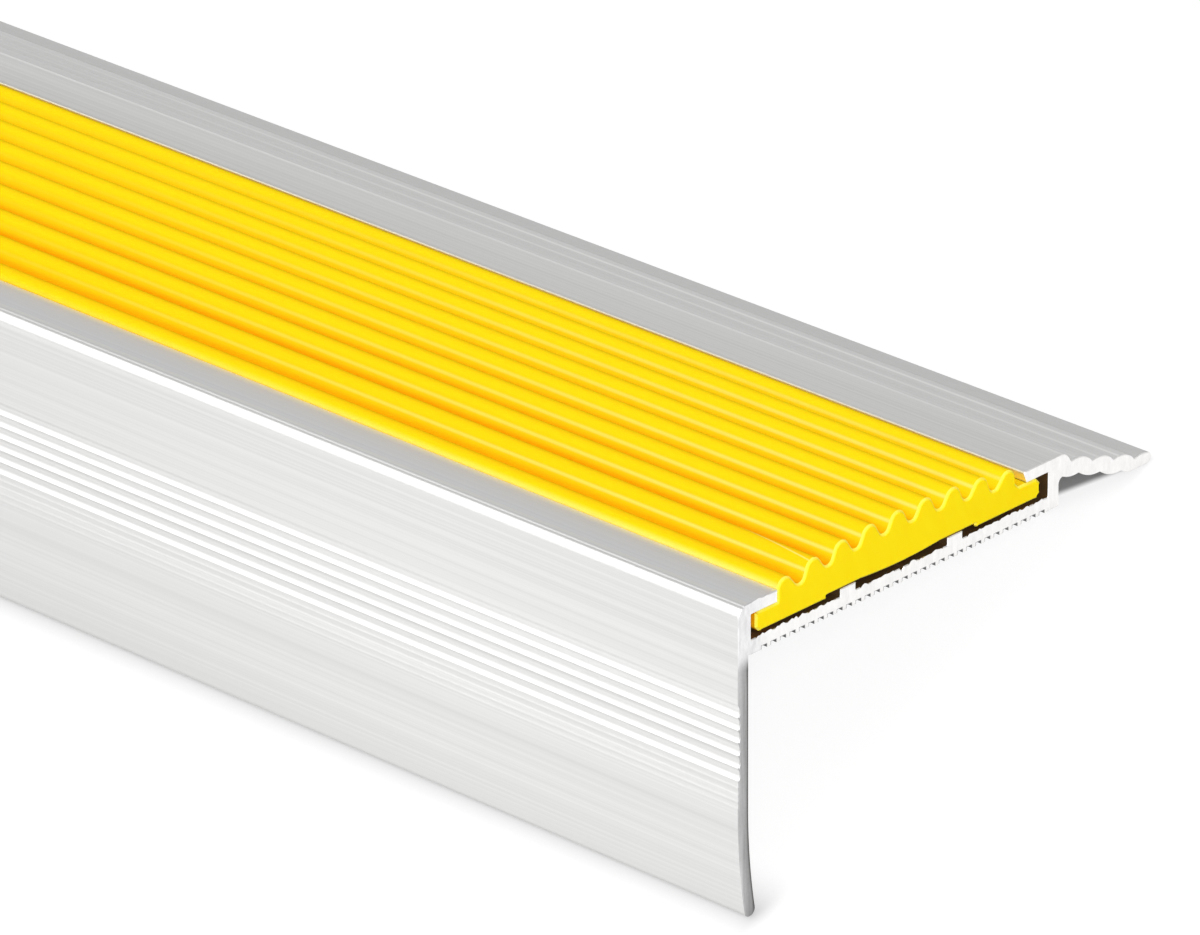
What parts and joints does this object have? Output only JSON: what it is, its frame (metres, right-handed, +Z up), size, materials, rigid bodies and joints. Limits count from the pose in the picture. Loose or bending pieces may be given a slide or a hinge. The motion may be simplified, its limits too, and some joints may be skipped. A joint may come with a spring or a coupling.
{
  "type": "stair nosing",
  "caption": "Length of extruded aluminium stair nosing with a fluted riser leg, a rolled rear ramp and a crowned, ribbed yellow anti-slip insert.",
  "frame": {"origin": "middle of the overall box, on the floor that the nosing lies on", "axes": "+X along the length, +Y from the riser leg to the rear ramp, +Z up from the floor"},
  "size_m": [1, 0.0766, 0.0356],
  "materials": {
    "aluminium": "mill finish, satin, with fine lines along the length",
    "insert": "smooth, satin, solid yellow"
  },
  "bodies": {
    "root": {"aluminium_profile": "aluminium", "ribbed_insert": "insert"}
  },
  "joints": []
}
